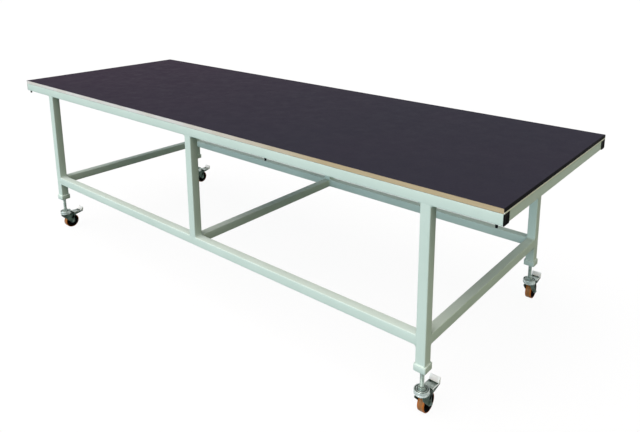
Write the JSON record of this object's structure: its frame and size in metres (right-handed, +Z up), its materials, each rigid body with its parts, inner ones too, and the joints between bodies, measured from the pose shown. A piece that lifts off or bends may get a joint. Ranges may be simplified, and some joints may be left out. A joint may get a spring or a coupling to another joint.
{
  "type": "assembly table",
  "caption": "Long workshop table: film-faced board on a welded square-tube frame with lower rails, standing on braked swivel casters with threaded levelling stems.",
  "frame": {"origin": "centre of the table top in plan, on the floor", "axes": "+X along the table, -Y towards the front long side, +Z up"},
  "size_m": [3, 1.0853, 0.86],
  "materials": {
    "film_faced_board": "dark phenolic film on plywood, bare tan plies on the long edges",
    "edge_band": "black edge banding",
    "frame_paint": "pale grey-green powder coat on welded square tube",
    "end_cap": "black moulded caps",
    "zinc": "bright zinc plate on pressed and turned steel",
    "wheel_core": "black moulded core",
    "tread": "orange-brown cast polyurethane",
    "pedal_pad": "pale moulded pad"
  },
  "bodies": {
    "frame": {"top_board": "film_faced_board", "left_edge_band": "edge_band", "right_edge_band": "edge_band", "front_top_rail": "frame_paint", "rear_top_rail": "frame_paint", "left_end_rail": "frame_paint", "right_end_rail": "frame_paint", "middle_top_rail": "frame_paint", "front_middle_post": "frame_paint", "rear_middle_post": "frame_paint", "front_lower_rail": "frame_paint", "rear_lower_rail": "frame_paint", "left_lower_bar": "frame_paint", "right_lower_bar": "frame_paint", "middle_lower_bar": "frame_paint", "front_left_leg": "frame_paint", "front_right_leg": "frame_paint", "rear_left_leg": "frame_paint", "rear_right_leg": "frame_paint", "front_left_foot_collar": "frame_paint", "front_right_foot_collar": "frame_paint", "rear_left_foot_collar": "frame_paint", "rear_right_foot_collar": "frame_paint", "front_left_end_cap": "end_cap", "front_right_end_cap": "end_cap", "rear_left_end_cap": "end_cap", "rear_right_end_cap": "end_cap"},
    "front_left_stud": {"front_left_stem": "zinc", "front_left_bearing_cap": "zinc"},
    "front_left_swivel": {"front_left_fork": "zinc", "front_left_axle_bolt": "zinc"},
    "front_left_wheel": {"front_left_wheel_core": "wheel_core", "front_left_tyre": "tread"},
    "front_left_brake": {"front_left_pedal": "zinc", "front_left_pedal_pad": "pedal_pad"},
    "front_right_stud": {"front_right_stem": "zinc", "front_right_bearing_cap": "zinc"},
    "front_right_swivel": {"front_right_fork": "zinc", "front_right_axle_bolt": "zinc"},
    "front_right_wheel": {"front_right_wheel_core": "wheel_core", "front_right_tyre": "tread"},
    "front_right_brake": {"front_right_pedal": "zinc", "front_right_pedal_pad": "pedal_pad"},
    "rear_left_stud": {"rear_left_stem": "zinc", "rear_left_bearing_cap": "zinc"},
    "rear_left_swivel": {"rear_left_fork": "zinc", "rear_left_axle_bolt": "zinc"},
    "rear_left_wheel": {"rear_left_wheel_core": "wheel_core", "rear_left_tyre": "tread"},
    "rear_left_brake": {"rear_left_pedal": "zinc", "rear_left_pedal_pad": "pedal_pad"},
    "rear_right_stud": {"rear_right_stem": "zinc", "rear_right_bearing_cap": "zinc"},
    "rear_right_swivel": {"rear_right_fork": "zinc", "rear_right_axle_bolt": "zinc"},
    "rear_right_wheel": {"rear_right_wheel_core": "wheel_core", "rear_right_tyre": "tread"},
    "rear_right_brake": {"rear_right_pedal": "zinc", "rear_right_pedal_pad": "pedal_pad"}
  },
  "joints": [
    {"name": "front_left_height", "type": "slide", "parent": "frame", "child": "front_left_stud", "axis": [0, 0, 1], "range_m": [-0.04, 0.05]},
    {"name": "front_left_swivel", "type": "hinge", "parent": "front_left_stud", "child": "front_left_swivel", "pos_m": [-1.23, -0.48, 0.1], "axis": [0, 0, 1], "continuous": true},
    {"name": "front_left_roll", "type": "hinge", "parent": "front_left_swivel", "child": "front_left_wheel", "pos_m": [-1.23, -0.45, 0.0375], "axis": [1, 0, 0], "continuous": true},
    {"name": "front_left_brake", "type": "hinge", "parent": "front_left_swivel", "child": "front_left_brake", "pos_m": [-1.23, -0.434, 0.08], "axis": [1, 0, 0], "range_deg": [-16, 0]},
    {"name": "front_right_height", "type": "slide", "parent": "frame", "child": "front_right_stud", "axis": [0, 0, 1], "range_m": [-0.04, 0.05]},
    {"name": "front_right_swivel", "type": "hinge", "parent": "front_right_stud", "child": "front_right_swivel", "pos_m": [1.23, -0.48, 0.1], "axis": [0, 0, 1], "continuous": true},
    {"name": "front_right_roll", "type": "hinge", "parent": "front_right_swivel", "child": "front_right_wheel", "pos_m": [1.23, -0.45, 0.0375], "axis": [1, 0, 0], "continuous": true},
    {"name": "front_right_brake", "type": "hinge", "parent": "front_right_swivel", "child": "front_right_brake", "pos_m": [1.23, -0.434, 0.08], "axis": [1, 0, 0], "range_deg": [-16, 0]},
    {"name": "rear_left_height", "type": "slide", "parent": "frame", "child": "rear_left_stud", "axis": [0, 0, 1], "range_m": [-0.04, 0.05]},
    {"name": "rear_left_swivel", "type": "hinge", "parent": "rear_left_stud", "child": "rear_left_swivel", "pos_m": [-1.23, 0.48, 0.1], "axis": [0, 0, 1], "continuous": true},
    {"name": "rear_left_roll", "type": "hinge", "parent": "rear_left_swivel", "child": "rear_left_wheel", "pos_m": [-1.23, 0.51, 0.0375], "axis": [1, 0, 0], "continuous": true},
    {"name": "rear_left_brake", "type": "hinge", "parent": "rear_left_swivel", "child": "rear_left_brake", "pos_m": [-1.23, 0.526, 0.08], "axis": [1, 0, 0], "range_deg": [-16, 0]},
    {"name": "rear_right_height", "type": "slide", "parent": "frame", "child": "rear_right_stud", "axis": [0, 0, 1], "range_m": [-0.04, 0.05]},
    {"name": "rear_right_swivel", "type": "hinge", "parent": "rear_right_stud", "child": "rear_right_swivel", "pos_m": [1.23, 0.48, 0.1], "axis": [0, 0, 1], "continuous": true},
    {"name": "rear_right_roll", "type": "hinge", "parent": "rear_right_swivel", "child": "rear_right_wheel", "pos_m": [1.23, 0.51, 0.0375], "axis": [1, 0, 0], "continuous": true},
    {"name": "rear_right_brake", "type": "hinge", "parent": "rear_right_swivel", "child": "rear_right_brake", "pos_m": [1.23, 0.526, 0.08], "axis": [1, 0, 0], "range_deg": [-16, 0]}
  ]
}
